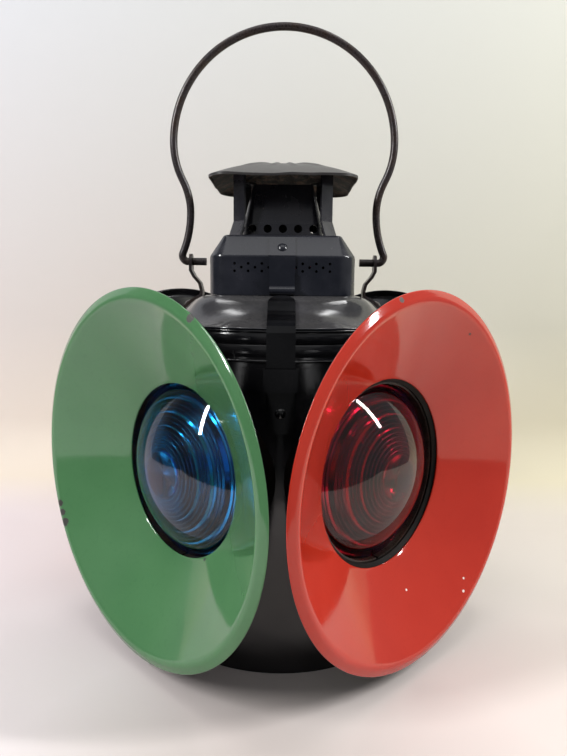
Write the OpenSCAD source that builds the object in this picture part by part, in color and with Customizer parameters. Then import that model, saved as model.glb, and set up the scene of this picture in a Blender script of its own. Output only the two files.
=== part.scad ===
// Railroad switch lamp for oil, with four lenses and four dished day targets.
// Millimetres, +Z up. The origin is on the ground, under the middle of the body.
// The front, where the lid's catch is, faces -Y. The lenses look out at 45 degrees to X and Y.

/* [Body] */
// Width of the wall that is left between two lens barrels
pillar_w = 5.23; // [3:0.01:9]
// Sheet thickness of the body and shoulder
sheet = 1.2; // [0.9:0.1:1.4]
// Height of the body shell
body_h = 218; // [205:1:235]
// Radius of the rolled bead at the shell's top
bead_r = 1.1; // [0.8:0.1:1.3]

/* [Base] */
// Height of the base plate's underside
base_z = 14; // [12:1:20]
// Radius of the ring of draught holes in the base plate
draught_ring_r = 68; // [60:1:74]
// Radius of one draught hole
draught_r = 4; // [2.5:0.5:6]
// Length of the socket's mouth, along X
socket_x = 32; // [26:1:36]
// Width of the socket's mouth, along Y
socket_y = 24; // [18:1:28]
// Depth of the socket
socket_depth = 36; // [30:1:37]
// Wall of the cast socket
socket_wall = 4; // [3:0.5:5]
// How much the socket narrows on each side over its depth
socket_taper = 2; // [1:0.5:3]

/* [Shoulder] */
// Height of the shoulder's flat top above the body shell
shoulder_up = 41; // [38:0.5:46]
// Height of the dome, from its rim to the flat top
dome_h = 20.4; // [18:0.2:23]
// Radius of the dome's outward curve
crown_r = 26; // [20:0.5:30]
// Steepest slope of the dome, in degrees
dome_steep = 43.8; // [38:0.2:48]
// How far the dome's rim stands out past the skirt
rim_over = 1.1; // [0.6:0.1:1.6]
// Width of the ledge inside the lid's drum
ledge_w = 5; // [4:0.2:7]
// How far the bands round the skirt stand out
band_rise = 0.8; // [0.4:0.1:1]

/* [Lenses] */
// Drop from the body's top to the lens centres
lens_drop = 81; // [78:0.5:86]
// Play between the lens flange and its barrel
lens_play = 0.4; // [0.2:0.1:0.8]
// Thickness of the lens flange
flange_t = 5.4; // [4.5:0.1:6]
// Width of the flange outside the lens dome
flange_w = 1.2; // [1:0.1:6]
// Radius of the sphere that forms the dome
lens_sphere_r = 91; // [80:1:110]
// How far the lens flange's front lies inside the body's radius
lens_in = 0.9; // [0.4:0.1:2]
// Thickness of the glass under the dome
glass_t = 6; // [5:0.5:8]
// Radius of the bull's eye inside the lens
bull_r = 15; // [12:0.5:18]
// Height of one step inside the lens
step_h = 2.5; // [1.5:0.1:3.5]
// Number of steps moulded inside the lens
lens_steps = 5; // [3:1:7]
// Outer radius of a lens barrel
hood_r = 65; // [60:0.5:70]
// Wall of a lens barrel
hood_wall = 1.2; // [0.9:0.1:1.3]
// Width of the flared lip that carries the target
flare_w = 8; // [5:0.5:12]
// Width of the stop behind the lens
stop_w = 3.5; // [2.5:0.1:4.5]
// Thickness of the split retaining ring
ring_w = 1.2; // [0.8:0.1:2]
// Depth of the split retaining ring, along the lens axis
ring_t = 4.6; // [3:0.1:5]
// Gap in the split ring, in degrees
ring_gap = 2; // [1:0.5:6]

/* [Targets] */
// Outer radius of a day target
target_r = 127; // [120:0.5:130]
// Width of the rim outside its crease
rim_w = 6.6; // [4:0.2:10]
// Space that two neighbouring targets leave between their rims
rim_clear = 7; // [4:0.5:12]
// How far the crease stands in front of the rim's edge
crease_rise = 2.6; // [1.5:0.1:3.5]
// Distance of the hole's front edge outside the body's radius
target_out = 5.5; // [4.5:0.1:8]
// How far a green target reaches in over its barrel
green_cover = 3.9; // [3:0.1:5]
// How far a red target stays back from its barrel
red_bare = 0.9; // [0.5:0.1:1.5]
// Thickness of the enamelled sheet
target_t = 1.5; // [1.1:0.1:1.6]

/* [Lid] */
// Half side of the lid's drum
lid_half = 52; // [51:0.5:53]
// How far the hip runs in from the wall to the flat top
hip_in = 10.2; // [8:0.1:13]
// Radius of the drum's upright corners
lid_corner = 13.5; // [12:0.5:16]
// Radius of the bends at the foot and the top of the hip
hip_bend = 3; // [1.5:0.5:4]
// Height of the lid's lower edge above the shoulder
lid_gap = 0.3; // [0.2:0.1:0.6]
// Height of the upright wall of the drum
drum_h = 27.4; // [26:0.2:30]
// Height of the sloping hip
hip_h = 15.1; // [13:0.1:17]
// Sheet thickness of the lid, chimney and roof
lid_sheet = 1; // [0.8:0.1:1.2]
// Radius of the draught holes in the drum
vent_r = 0.95; // [0.7:0.05:1.1]
// Distance between the columns of draught holes
vent_pitch = 4.78; // [4.2:0.02:5]
// Width of the front band
band_w = 18.5; // [16:0.5:19]
// Outer radius of the rolled knuckle on the band
knuckle_r = 3.2; // [2.8:0.1:3.4]

/* [Chimney and roof] */
// Half side of the chimney's foot
chimney_foot = 30; // [29:0.5:31]
// Half side of the chimney's mouth
chimney_mouth = 22; // [21.2:0.2:24]
// Height of the chimney
chimney_h = 38; // [35:1:39]
// Height of the chimney's upright collar
collar_h = 9.2; // [9.2:0.2:11]
// Radius of the chimney's holes
flue_hole_r = 3; // [2.2:0.1:3.2]
// Distance between the chimney's holes
flue_hole_pitch = 11.1; // [10.5:0.1:11.4]
// Width of the straps that carry the roof
strap_w = 11.8; // [9:0.2:13]
// Thickness of those straps
strap_t = 1.5; // [1.2:0.1:2]
// Half side of the roof
roof_half = 53; // [50:0.5:54]
// Height of the roof's rim above the lid's flat top
roof_lift = 41.2; // [41:0.2:44]
// Height of the roof's crown above its rim
roof_rise = 14.6; // [12:0.2:17]

/* [Bail] */
// Radius of the bail's wire
wire_r = 2.9; // [2.7:0.05:3]
// Radius of the bail's arch
arch_r = 84; // [82:0.5:88]
// Height of the arch's centre above the hinge
arch_up = 88.9; // [86:0.1:94]
// Half width of the bail at its waist
waist_half = 71.5; // [71:0.1:73]
// Height of the waist above the hinge
waist_up = 37.5; // [34:0.1:40]
// Height of the bail's hinge above the shoulder's top
ear_up = 25.5; // [24:0.5:28]
// Radius of the bend above the stub
hook_r = 4.5; // [4:0.1:5]
// Space between the lid's wall and the end of the stub
stub_gap = 7.5; // [6:0.5:10]
// Thickness of an ear
ear_t = 2.2; // [1.8:0.1:2.4]
// Width of an ear
ear_w = 12; // [10:0.5:13]

/* [Latch] */
// Width of the latch spring
latch_w = 18.8; // [16:0.2:19]
// Thickness of the latch spring
latch_t = 1.2; // [0.9:0.1:1.3]
// Drop from the body's top to the spring's rivet
latch_drop = 35; // [32:0.5:38]
// Drop from the body's top to the guide bracket's lower edge
bracket_drop = 20.5; // [18:0.5:22]
// How far the spring bends outwards, in degrees
latch_flex = 4; // [3:0.5:5]
// Height of the guide bracket
bracket_h = 15; // [12:0.5:15.5]

/* [Fount and burner] */
// Play between the fount and the opening that it passes through
fount_play = 1; // [0.8:0.1:3]
// Space between the socket and the shelf that the fount stands on
shelf_gap = 3; // [2:0.5:6]
// Height of the lens centres above the wick tube
flame_h = 8.8; // [6:0.2:12]
// Width of the flat wick
wick_w = 16; // [12:0.5:18]
// Thickness of the wick
wick_t = 2; // [1.6:0.1:2.4]
// Radius of the wick raiser's spindle
spindle_r = 1.2; // [1:0.05:1.4]
// Radius of the wick raiser's knob
knob_r = 7; // [5.5:0.1:7.2]
// Radius of the filler cap
cap_r = 10.5; // [9:0.1:11]

/* [Hidden] */
$fn = 96;

// Clearances
slip = 0.1;
seat = 0.3;

// Directions of the four lenses, as angles about Z from +X
front_left = 225;
front_right = 315;
rear_right = 45;
rear_left = 135;

// Lenses: the barrels and the wall between them set how wide the body is
barrel_clear = hood_r + slip + 0.2;
body_r = norm([barrel_clear, barrel_clear + pillar_w / sqrt(2)]);
lens_z = body_h - lens_drop;
lens_r = hood_r - hood_wall - lens_play;
dome_base_r = lens_r - flange_w;
lens_seat = body_r - lens_in;
lens_rim = 5;

// Targets
crease_r = target_r - rim_w;
rim_off = target_r + rim_clear;
crease_bend = 4;
hole_off = body_r + target_out;
flare_r = hood_r + flare_w;
green_hole_r = hood_r - green_cover;
red_hole_r = hood_r + red_bare;
cone_slope = (rim_off + crease_rise - hole_off) / (crease_r - green_hole_r);

// Rivets: radius and height of the head, radius of the shank
socket_rivet = [5, 2.6, 2.5];
ear_rivet = [3.6, 1.6, 1.8];
hasp_rivet = [3.6, 1.7, 2];
spring_rivet = [3.8, 1.6, 1.6];

// Body and shoulder
inner_r = body_r - sheet;
skirt_r = inner_r - seat;
skirt_z = body_h - 8;
flange_h = 9;
shelf_bed = 10;
air_hole_r = 9;
shoulder_z = body_h + shoulder_up;
plateau_half = lid_half + 1.5;
opening_half = lid_half - ledge_w;
corner_c = lid_half - lid_corner;

// The dome's profile in the plane of distance and height: an outward curve, then a flare that ends at the rim
dome_rim = [skirt_r + rim_over, shoulder_z - dome_h];
crown_c = [plateau_half, shoulder_z - crown_r];
dome_turn = crown_c + crown_r * [sin(dome_steep), cos(dome_steep)];
flare_chord = dome_rim - dome_turn;
rim_slope = 2 * atan2(-flare_chord[1], flare_chord[0]) - dome_steep;
dome_flare = norm(flare_chord) / 2 / sin((dome_steep - rim_slope) / 2);
dome_flare_c = dome_turn + dome_flare * [sin(dome_steep), cos(dome_steep)];
function dome_z(r, lift = 0) = r < crown_c[0] + (crown_r + lift) * sin(dome_steep)
  ? crown_c[1] + sqrt(pow(crown_r + lift, 2) - pow(r - crown_c[0], 2))
  : dome_flare_c[1] - sqrt(pow(dome_flare - lift, 2) - pow(r - dome_flare_c[0], 2));
function dome_slope(r) = r < dome_turn[0] ? -asin((r - crown_c[0]) / crown_r)
  : -asin((dome_flare_c[0] - r) / dome_flare);

// Skirt of the shoulder: two raised bands, with a seam bead above them
seam_r = 0.95;
seam_z = dome_rim[1] - 2.3;
band_low = [body_h + 1.2, body_h + 8.9];
band_high = [body_h + 10.3, seam_z - 1.1];

// Lid
hip_half = lid_half - hip_in;
lid_z = shoulder_z + lid_gap;
hip_z = lid_z + drum_h;
top_z = hip_z + hip_h;
chimney_c = chimney_mouth - 2;
collar_in = 0.6;
flue_drop = 24;
rim_z = top_z + roof_lift;
crown_z = rim_z + roof_rise;
vent_drop = 8;
vent_rise = 2.6;
baffle_r = opening_half - 7;
skin = 0.05;

// Front band: where it ends and where its rivet sits, as shares of the hip; then the raised plate
// above the knuckle, and the knuckle's wall
band_end = 0.86;
hasp_rivet_up = 0.36;
hasp_t = 1.6;
hasp_w = band_w - 0.8;
hasp_h = 9.4;
knuckle_t = 1.1;

// Rear hinge
pin_r = 1.5;
hinge_r = 3;
hinge_y = lid_half + hinge_r + 2.5;
hinge_z = shoulder_z + hinge_r + 1;
hinge_half = 8.5;
knuckle_half = 4;
leaf_t = 1.2;

// Bail
eye_z = shoulder_z + ear_up;
eye_r = wire_r + 0.05;
ear_x = 71.4;
foot_room = 0.2;
stub_x = lid_half + stub_gap;
arch_z = eye_z + arch_up;
waist_z = eye_z + waist_up;

// Latch
latch_y = body_r + 1.6;
latch_gap = 0.7;
rivet_room = 0.7;
latch_tail = 13.5;
latch_rivet_z = body_h - latch_drop;
bracket_z = body_h - bracket_drop;
loop_room = (bracket_z + bracket_h - latch_rivet_z) * tan(latch_flex) + 0.4;
tip_y = lid_half + 10.6;

// Fount
socket_flange_t = 4;
shelf_z = base_z - socket_flange_t + socket_depth + socket_wall + shelf_gap;
fount_r = opening_half - fount_play;
fount_z = shelf_z + sheet;
tube_top = lens_z - flame_h;
fount_top = tube_top - 20;
tank_t = 0.8;
neck_r = 13;
neck_h = 5;
burner_h = 12;
tube_t = 0.7;
spindle_z = fount_top + 8;
cap_x = -29;
cap_neck_r = cap_r - 1.4;
cap_neck_h = 5;

// Colours
black_paint = [0.09, 0.09, 0.12];
dark_steel = [0.22, 0.19, 0.18];
enamel_green = [0.33, 0.55, 0.38];
enamel_red = [0.80, 0.20, 0.12];
glass_blue = [0.10, 0.45, 0.60, 0.6];
glass_ruby = [0.45, 0.05, 0.10, 0.6];
tinplate = [0.62, 0.62, 0.60];
brass = [0.72, 0.56, 0.28];
cast = [0.20, 0.20, 0.21];

// Outline of a strip that follows a path, from t0 to t1 to the left of it, with mitred corners
function unit(v) = v / norm(v);
function left(v) = [-v[1], v[0]];
function side(p, i) = left(unit(p[min(i + 1, len(p) - 1)] - p[min(i, len(p) - 2)]));
function mitre(p, i, t) = let (a = side(p, max(i - 1, 0)), b = side(p, i)) p[i] + t * (a + b) / (1 + a * b);
function strip(p, t0, t1) = concat([for (i = [0:len(p) - 1]) mitre(p, i, t1)],
                                   [for (i = [len(p) - 1:-1:0]) mitre(p, i, t0)]);
function arc(c, r, a0, a1, n) = [for (i = [0:n]) let (a = a0 + (a1 - a0) * i / n) c + r * [cos(a), sin(a)]];

// A corner at b of the line a, b, c, rounded to radius r in n steps
function fillet(a, b, c, r, n = 4) = let (u = unit(a - b), v = unit(c - b), half = acos(u * v) / 2,
    mid = b + unit(u + v) * r / sin(half), s = b + u * r / tan(half) - mid, e = b + v * r / tan(half) - mid,
    a0 = atan2(s[1], s[0]), turn = (atan2(e[1], e[0]) - a0 + 540) % 360 - 180)
  [for (i = [0:n]) mid + r * [cos(a0 + turn * i / n), sin(a0 + turn * i / n)]];

// Turns local +Z out along a lens axis, with local +X pointing down
module facing(az) { translate([0, 0, lens_z]) rotate([0, 90, az]) children(); }

// A ring from an outer and an inner radius, standing on z
module ring(ro, ri, z0, z1) {
  translate([0, 0, z0]) difference() {
    cylinder(r = ro, h = z1 - z0);
    translate([0, 0, -1]) cylinder(r = ri, h = z1 - z0 + 2);
  }
}

// Carries a profile of distance and height round a square whose corner centres lie at c
module round_square(c) {
  for (k = [0:3]) rotate([0, 0, 90 * k]) {
    translate([c, c, 0]) rotate_extrude(angle = 90) children();
    translate([c, c, 0]) rotate([90, 0, 0]) linear_extrude(2 * c) children();
  }
}

// A flat plate with round corners, from its half sides
module plate(hx, hy, corner, z0, z1) {
  translate([0, 0, z0]) linear_extrude(z1 - z0) union() {
    square([2 * hx, 2 * (hy - corner)], center = true);
    square([2 * (hx - corner), 2 * hy], center = true);
    for (x = [-1, 1], y = [-1, 1]) translate([x * (hx - corner), y * (hy - corner)]) circle(r = corner, $fn = 48);
  }
}
module square_plate(half, corner, z0, z1) { plate(half, half, corner, z0, z1); }

// A profile in the YZ plane, extruded to both sides of the middle
module across_x(half, points) {
  translate([-half, 0, 0]) rotate([90, 0, 90]) linear_extrude(2 * half) polygon(points);
}

// A low round rivet head on a short shank; it stands along local +Z
module rivet(size, shank_l) {
  ball_r = size[0] * 1.25;
  intersection() {
    translate([0, 0, size[1] - ball_r]) sphere(r = ball_r, $fn = 48);
    cylinder(r = size[0], h = size[1] + 1, $fn = 48);
  }
  translate([0, 0, -shank_l]) cylinder(r = size[2], h = shank_l + 0.1, $fn = 32);
}
module rivet_hole(size, l) { translate([0, 0, -l / 2]) cylinder(r = size[2] + slip, h = l, $fn = 32); }

module body_shell() {
  color(black_paint) difference() {
    union() {
      ring(body_r, inner_r, 0, body_h);
      rotate_extrude() translate([body_r, body_h - bead_r]) circle(r = bead_r, $fn = 32);
    }
    for (az = [front_left, front_right, rear_right, rear_left])
      facing(az) translate([0, 0, inner_r / 2]) cylinder(r = hood_r + slip, h = body_r);
    translate([0, -body_r, latch_rivet_z]) rotate([90, 0, 0])
      cylinder(r = spring_rivet[2] + rivet_room, h = 8, center = true, $fn = 32);
  }
}

module base_plate() {
  color(black_paint) difference() {
    union() {
      translate([0, 0, base_z]) cylinder(r = inner_r - slip, h = sheet);
      ring(inner_r - slip, inner_r - slip - sheet, base_z, base_z + flange_h);
    }
    hole_x = socket_x + 2 * socket_wall + 2 * slip;
    hole_y = socket_y + 2 * socket_wall + 2 * slip;
    translate([-hole_x / 2, -hole_y / 2, base_z - 1]) cube([hole_x, hole_y, sheet + 2]);
    for (k = [0:11]) rotate([0, 0, 15 + 30 * k])
      translate([draught_ring_r, 0, base_z - 1]) cylinder(r = draught_r, h = sheet + 2, $fn = 32);
    for (p = socket_bolts()) translate([p[0], p[1], base_z]) rivet_hole(socket_rivet, 4 * sheet);
  }
}

function socket_bolts() = [for (x = [-1, 1], y = [-1, 1])
  [x * (socket_x / 2 + socket_wall + 8), y * (socket_y / 2 + socket_wall + 1)]];

// Cast socket that drops over the tip of the switch stand, its mouth facing down
module mounting_socket() {
  mouth_z = base_z - socket_flange_t;
  color(cast) difference() {
    union() {
      plate(socket_x / 2 + socket_wall + 14, socket_y / 2 + socket_wall + 7, 6, mouth_z, base_z);
      plate(socket_x / 2 + socket_wall, socket_y / 2 + socket_wall, 3, mouth_z, mouth_z + socket_depth + socket_wall);
    }
    socket_hollow(mouth_z);
    for (p = socket_bolts()) translate([p[0], p[1], mouth_z]) rivet_hole(socket_rivet, 3 * socket_flange_t);
  }
}

// The tapered hollow is where two wedges meet, one narrowing along X and one along Y
module socket_hollow(mouth_z) {
  intersection() {
    taper_wedge(socket_x / 2, socket_y, mouth_z);
    rotate([0, 0, 90]) taper_wedge(socket_y / 2, socket_x, mouth_z);
  }
}

module taper_wedge(half, length, mouth_z) {
  spread = socket_taper / socket_depth;
  translate([0, length, 0]) rotate([90, 0, 0]) linear_extrude(2 * length) polygon([
    [-half - spread, mouth_z - 1], [half + spread, mouth_z - 1],
    [half - socket_taper, mouth_z + socket_depth], [-half + socket_taper, mouth_z + socket_depth]]);
}

module socket_rivets() {
  color(dark_steel) for (p = socket_bolts()) translate([p[0], p[1], base_z + sheet]) {
    rivet(socket_rivet, socket_flange_t + sheet);
    translate([0, 0, -socket_flange_t - sheet]) mirror([0, 0, 1]) rivet(socket_rivet, 0.1);
  }
}

// Shelf across the body that holds the fount, with a locating collar
module fount_shelf() {
  collar_r = fount_r + 0.6;
  color(tinplate) difference() {
    union() {
      translate([0, 0, shelf_z]) cylinder(r = inner_r - slip, h = sheet);
      ring(inner_r - slip, inner_r - slip - sheet, shelf_z - flange_h, shelf_z + 0.5);
      ring(collar_r + sheet, collar_r, shelf_z, shelf_z + flange_h - 1);
    }
    translate([0, 0, shelf_z - 1]) cylinder(r = fount_r - shelf_bed, h = sheet + 2);
    for (k = [0:7]) rotate([0, 0, 45 * k])
      translate([(collar_r + inner_r) / 2, 0, shelf_z - 1]) cylinder(r = air_hole_r, h = sheet + 2, $fn = 48);
  }
}

// Distance from the middle to the edge of a rounded square, in the direction a
function square_r(a, half, corner) = let (f = abs((a + 45) % 90 - 45), c = half - corner)
  half * tan(f) <= c ? half / cos(f) : c * (cos(f) + sin(f)) + sqrt(corner * corner - c * c * (1 - sin(2 * f)));

// The dome's profile, set in by t along its normal
function dome_line(t) = concat(
  [for (i = [0:5]) let (a = dome_steep * i / 5) crown_c + (crown_r - t) * [sin(a), cos(a)]],
  [for (i = [1:4]) let (a = dome_steep + (rim_slope - dome_steep) * i / 4)
    dome_flare_c - (dome_flare + t) * [sin(a), cos(a)]]);

// Shoulder: a loft from the square ledge under the lid to the round rim. Each direction carries the dome's
// profile, stretched between the square's edge and the rim
module shoulder() {
  turns = 72;
  back = dome_line(sheet);
  last = len(back) - 1;
  line = concat(dome_line(0), [for (i = [last:-1:0]) back[i]]);
  rows = len(line) + 2;
  function out(a, d) = let (edge = square_r(a, plateau_half, plateau_half - corner_c))
    edge + (d - plateau_half) / (dome_rim[0] - plateau_half) * (dome_rim[0] - edge);
  points = [for (k = [0:turns - 1]) let (a = 360 * k / turns, hole = square_r(a, opening_half, 9))
    each concat([[hole * cos(a), hole * sin(a), shoulder_z - sheet], [hole * cos(a), hole * sin(a), shoulder_z]],
      [for (p = line) [out(a, p[0]) * cos(a), out(a, p[0]) * sin(a), p[1]]])];
  faces = [for (k = [0:turns - 1], m = [0:rows - 1])
    let (p = k * rows + m, q = k * rows + (m + 1) % rows, next = (k + 1) % turns * rows - k * rows)
    each [[p, p + next, q + next], [p, q + next, q]]];
  color(black_paint) polyhedron(points, faces);
}

// Skirt: it slips into the body shell and shows two raised bands, a groove between them and a seam bead
module shoulder_skirt() {
  function bulge(z) = [for (i = [0:6]) [skirt_r + band_rise * sin(30 * i), z[0] + (z[1] - z[0]) * i / 6]];
  groove = [skirt_r - sheet / 2, (band_low[1] + band_high[0]) / 2];
  line = concat([[skirt_r - sheet, skirt_z], [skirt_r, skirt_z]], bulge(band_low), [groove], bulge(band_high),
    [[skirt_r, seam_z + 0.2], [skirt_r - sheet, seam_z + 0.2]]);
  color(black_paint) rotate_extrude() {
    polygon(line);
    translate([skirt_r + 0.15, seam_z]) circle(r = seam_r, $fn = 32);
  }
}

// Height of the target's back face along the lens axis, at a radius; the barrel's lip lies under it
function target_back(r) = hole_off + (r - green_hole_r) * cone_slope - target_t / cos(atan(cone_slope));

// A lens barrel: an inner stop behind the lens, a flared lip that carries the target,
// and sides that run back to the body wall
module hood(az) {
  inner = hood_r - hood_wall;
  stop_front = lens_seat - flange_t - slip;
  stop_back = stop_front - hood_wall;
  root = inner_r / 2;
  lip = 1.3 * hood_wall;
  color(black_paint) difference() {
    facing(az) rotate_extrude($fn = 128) polygon([
      [inner, root], [inner, stop_back], [inner - stop_w, stop_back], [inner - stop_w, stop_front], [inner, stop_front],
      [inner, target_back(inner) - slip], [flare_r, target_back(flare_r) - slip],
      [flare_r, target_back(flare_r) - slip - lip], [hood_r, target_back(hood_r) - slip - lip], [hood_r, root]]);
    difference() {
      cylinder(r = inner_r, h = 2 * lens_z);
      facing(az) translate([0, 0, stop_back]) cylinder(r = hood_r + 2, h = body_r);
    }
  }
}
module hood_front_left() { hood(front_left); }
module hood_front_right() { hood(front_right); }
module hood_rear_right() { hood(rear_right); }
module hood_rear_left() { hood(rear_left); }

// A day target: a cone from the hole to the crease, and a rim that turns back
module target(az, hole_r) {
  crease_off = rim_off + crease_rise;
  face = [[hole_r, hole_off + (hole_r - green_hole_r) * cone_slope],
          [crease_r - crease_bend, crease_off - crease_bend * cone_slope],
          [crease_r - 0.3 * crease_bend, crease_off - 0.22 * crease_bend * cone_slope],
          [crease_r + 0.3 * crease_bend, crease_off - 0.08 * crease_bend],
          [target_r, rim_off]];
  facing(az) rotate_extrude($fn = 180) polygon(strip(face, -target_t, 0));
}
module target_front_left() { color(enamel_green) target(front_left, green_hole_r); }
module target_front_right() { color(enamel_red) target(front_right, red_hole_r); }
module target_rear_right() { color(enamel_green) target(rear_right, green_hole_r); }
module target_rear_left() { color(enamel_red) target(rear_left, red_hole_r); }

// A stepped lens: a smooth dome outside, a bull's eye and rings of steps inside
module lens(az) {
  centre = lens_seat - sqrt(pow(lens_sphere_r, 2) - pow(dome_base_r, 2));
  function under(r) = centre + sqrt(pow(lens_sphere_r - glass_t, 2) - r * r);
  eye = bull_r;
  edge = dome_base_r - lens_rim;
  back = lens_seat - flange_t;
  step = (edge - eye) / lens_steps;
  stairs = [for (i = [0:lens_steps - 1]) each
    let (r = eye + i * step, z = under(r + step)) [[r, z + step_h], [r + step, z]]];
  facing(az) difference() {
    union() {
      translate([0, 0, back]) cylinder(r = lens_r, h = flange_t);
      intersection() {
        translate([0, 0, centre]) sphere(r = lens_sphere_r, $fn = 180);
        translate([0, 0, back + 1]) cylinder(r = dome_base_r, h = 60);
      }
    }
    rotate_extrude() polygon(concat([[0, back - 1], [0, under(eye) - 3], [eye, under(eye) - 1]], stairs,
      [[edge, back - 1]]));
  }
}
module lens_front_left() { color(glass_blue) lens(front_left); }
module lens_front_right() { color(glass_ruby) lens(front_right); }
module lens_rear_right() { color(glass_blue) lens(rear_right); }
module lens_rear_left() { color(glass_ruby) lens(rear_left); }

// The split ring that springs into the barrel in front of the lens, its gap at the bottom
module lens_ring(az) {
  outer = hood_r - hood_wall - slip;
  color(dark_steel) facing(az) rotate([0, 0, ring_gap / 2]) rotate_extrude(angle = 360 - ring_gap)
    translate([outer - ring_w, lens_seat + slip]) square([ring_w, ring_t]);
}
module lens_ring_front_left() { lens_ring(front_left); }
module lens_ring_front_right() { lens_ring(front_right); }
module lens_ring_rear_right() { lens_ring(rear_right); }
module lens_ring_rear_left() { lens_ring(rear_left); }

// Guide bracket of the latch spring: two curved wings and a raised loop between them
bracket_half = 26;
loop_out = latch_y + latch_t + loop_room;
module latch_bracket() {
  loop_half = latch_w / 2 + latch_gap + sheet;
  color(black_paint) difference() {
    intersection() {
      translate([0, 0, bracket_z]) union() {
        cylinder(r = body_r + sheet, h = bracket_h);
        translate([-loop_half, -loop_out - sheet, 0]) cube([2 * loop_half, 12, bracket_h]);
      }
      translate([-bracket_half, -loop_out - 5, 0]) cube([2 * bracket_half, 40, body_h]);
    }
    cylinder(r = body_r, h = body_h);
    translate([-loop_half + sheet, -loop_out, 0]) cube([2 * (loop_half - sheet), 20, body_h]);
  }
}

// An ear: an upright eye, a bend inwards, and a foot along the dome
module ear() {
  heel = ear_x - 7;
  foot = [for (i = [0:4]) [heel + 3.9 * i, dome_z(heel + 3.9 * i, seat + ear_t)]];
  path = concat([[ear_x + ear_t / 2, eye_z + 7], [ear_x + ear_t / 2, eye_z - 7], [ear_x - 1.5, eye_z - 12],
                 [heel + 1.1, eye_z - 17], [heel - 0.3, foot[0][1] + 2.6]], foot);
  difference() {
    intersection() {
      translate([0, ear_w / 2, 0]) rotate([90, 0, 0]) linear_extrude(ear_w) polygon(strip(path, -ear_t, 0));
      union() {
        translate([50, -ear_w / 2, shoulder_z - 30]) cube([50, ear_w, ear_up + 30]);
        translate([50, 0, eye_z]) rotate([0, 90, 0]) cylinder(r = ear_w / 2, h = 50);
      }
    }
    translate([50, 0, eye_z]) rotate([0, 90, 0]) cylinder(r = eye_r, h = 50);
    ear_rivet_place() rivet_hole(ear_rivet, 12);
  }
}
module ear_rivet_place() {
  r = ear_x + 3;
  translate([r, 0, dome_z(r, seat + ear_t + foot_room)]) rotate([0, -dome_slope(r), 0]) children();
}
module ear_left() { color(dark_steel) mirror([1, 0, 0]) ear(); }
module ear_right() { color(dark_steel) ear(); }
module ear_rivets() {
  color(dark_steel) for (m = [0, 1]) mirror([m, 0, 0]) ear_rivet_place() rivet(ear_rivet, ear_t + foot_room);
}

// Rear hinge: two outer knuckles and a plate along the dome belong to the body
module hinge_base() {
  r0 = hinge_y + 4;
  sole = concat([[hinge_y + 1, hinge_z - hinge_r + 0.4]], [for (i = [0:4]) [r0 + 3 * i, dome_z(r0 + 3 * i, seat)]]);
  color(black_paint) difference() {
    union() {
      across_x(hinge_half, strip(sole, 0, leaf_t));
      knuckles([[-hinge_half, -knuckle_half], [knuckle_half, hinge_half]]);
    }
    translate([-knuckle_half - slip, hinge_y - 5, hinge_z - 5])
      cube([2 * (knuckle_half + slip), 5 + hinge_r + slip, 10]);
    pin_bore();
  }
}
module knuckles(spans) {
  for (s = spans) translate([s[0], hinge_y, hinge_z]) rotate([0, 90, 0])
    cylinder(r = hinge_r, h = s[1] - s[0], $fn = 48);
}
module pin_bore() {
  translate([0, hinge_y, hinge_z]) rotate([0, 90, 0])
    cylinder(r = pin_r + 0.05, h = 4 * hinge_half, center = true, $fn = 48);
}
module hinge_pin() {
  color(dark_steel) translate([-hinge_half - 0.6, hinge_y, hinge_z]) rotate([0, 90, 0]) {
    cylinder(r = pin_r, h = 2 * hinge_half + 1.2, $fn = 48);
    translate([0, 0, -1]) cylinder(r = 2.2, h = 1.2, $fn = 48);
    translate([0, 0, 2 * hinge_half + 1]) cylinder(r = 2.2, h = 1.2, $fn = 48);
  }
}
module hinge_leaf() {
  color(black_paint) difference() {
    union() {
      translate([-hinge_half, lid_half, hinge_z - hinge_r]) cube([2 * hinge_half, leaf_t, 17]);
      translate([-knuckle_half + 0.2, lid_half + 0.1, hinge_z])
        cube([2 * knuckle_half - 0.4, hinge_y - lid_half, hinge_r]);
      knuckles([[-knuckle_half + 0.2, knuckle_half - 0.2]]);
    }
    pin_bore();
  }
}

// Lid drum: upright walls, a sloping hip, and a flat top open under the chimney
module lid_drum() {
  low = [lid_half - corner_c, lid_z];
  knee = [lid_half - corner_c, hip_z];
  brow = [hip_half - corner_c, top_z];
  line = concat([low], fillet(low, knee, brow, hip_bend), fillet(knee, brow, [0, top_z], hip_bend), [[0, top_z]]);
  color(black_paint) difference() {
    union() {
      round_square(corner_c) polygon(strip(line, 0, lid_sheet));
      translate([-corner_c, -corner_c, top_z - lid_sheet]) cube([2 * corner_c, 2 * corner_c, lid_sheet]);
    }
    square_plate(chimney_foot - 4, 6, top_z - 2, top_z + 1);
    for (turn = [0:3]) rotate([0, 0, 90 * turn]) vents();
  }
}

// Draught holes of one face: columns of one and of two holes by turns
module vents() {
  for (s = [-1, 1], k = [0:5]) for (dz = k % 2 == 0 ? [0] : [-vent_rise, vent_rise])
    translate([s * (2 * vent_pitch + vent_pitch * k), -lid_half, hip_z - vent_drop + dz])
      rotate([90, 0, 0]) cylinder(r = vent_r, h = 4 * lid_sheet, center = true, $fn = 24);
}

// A point of the front hip in the plane of Y and height, from its foot at 0 to its top at 1
function hip_point(share) = [-lid_half + share * hip_in, hip_z + share * hip_h];

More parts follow.
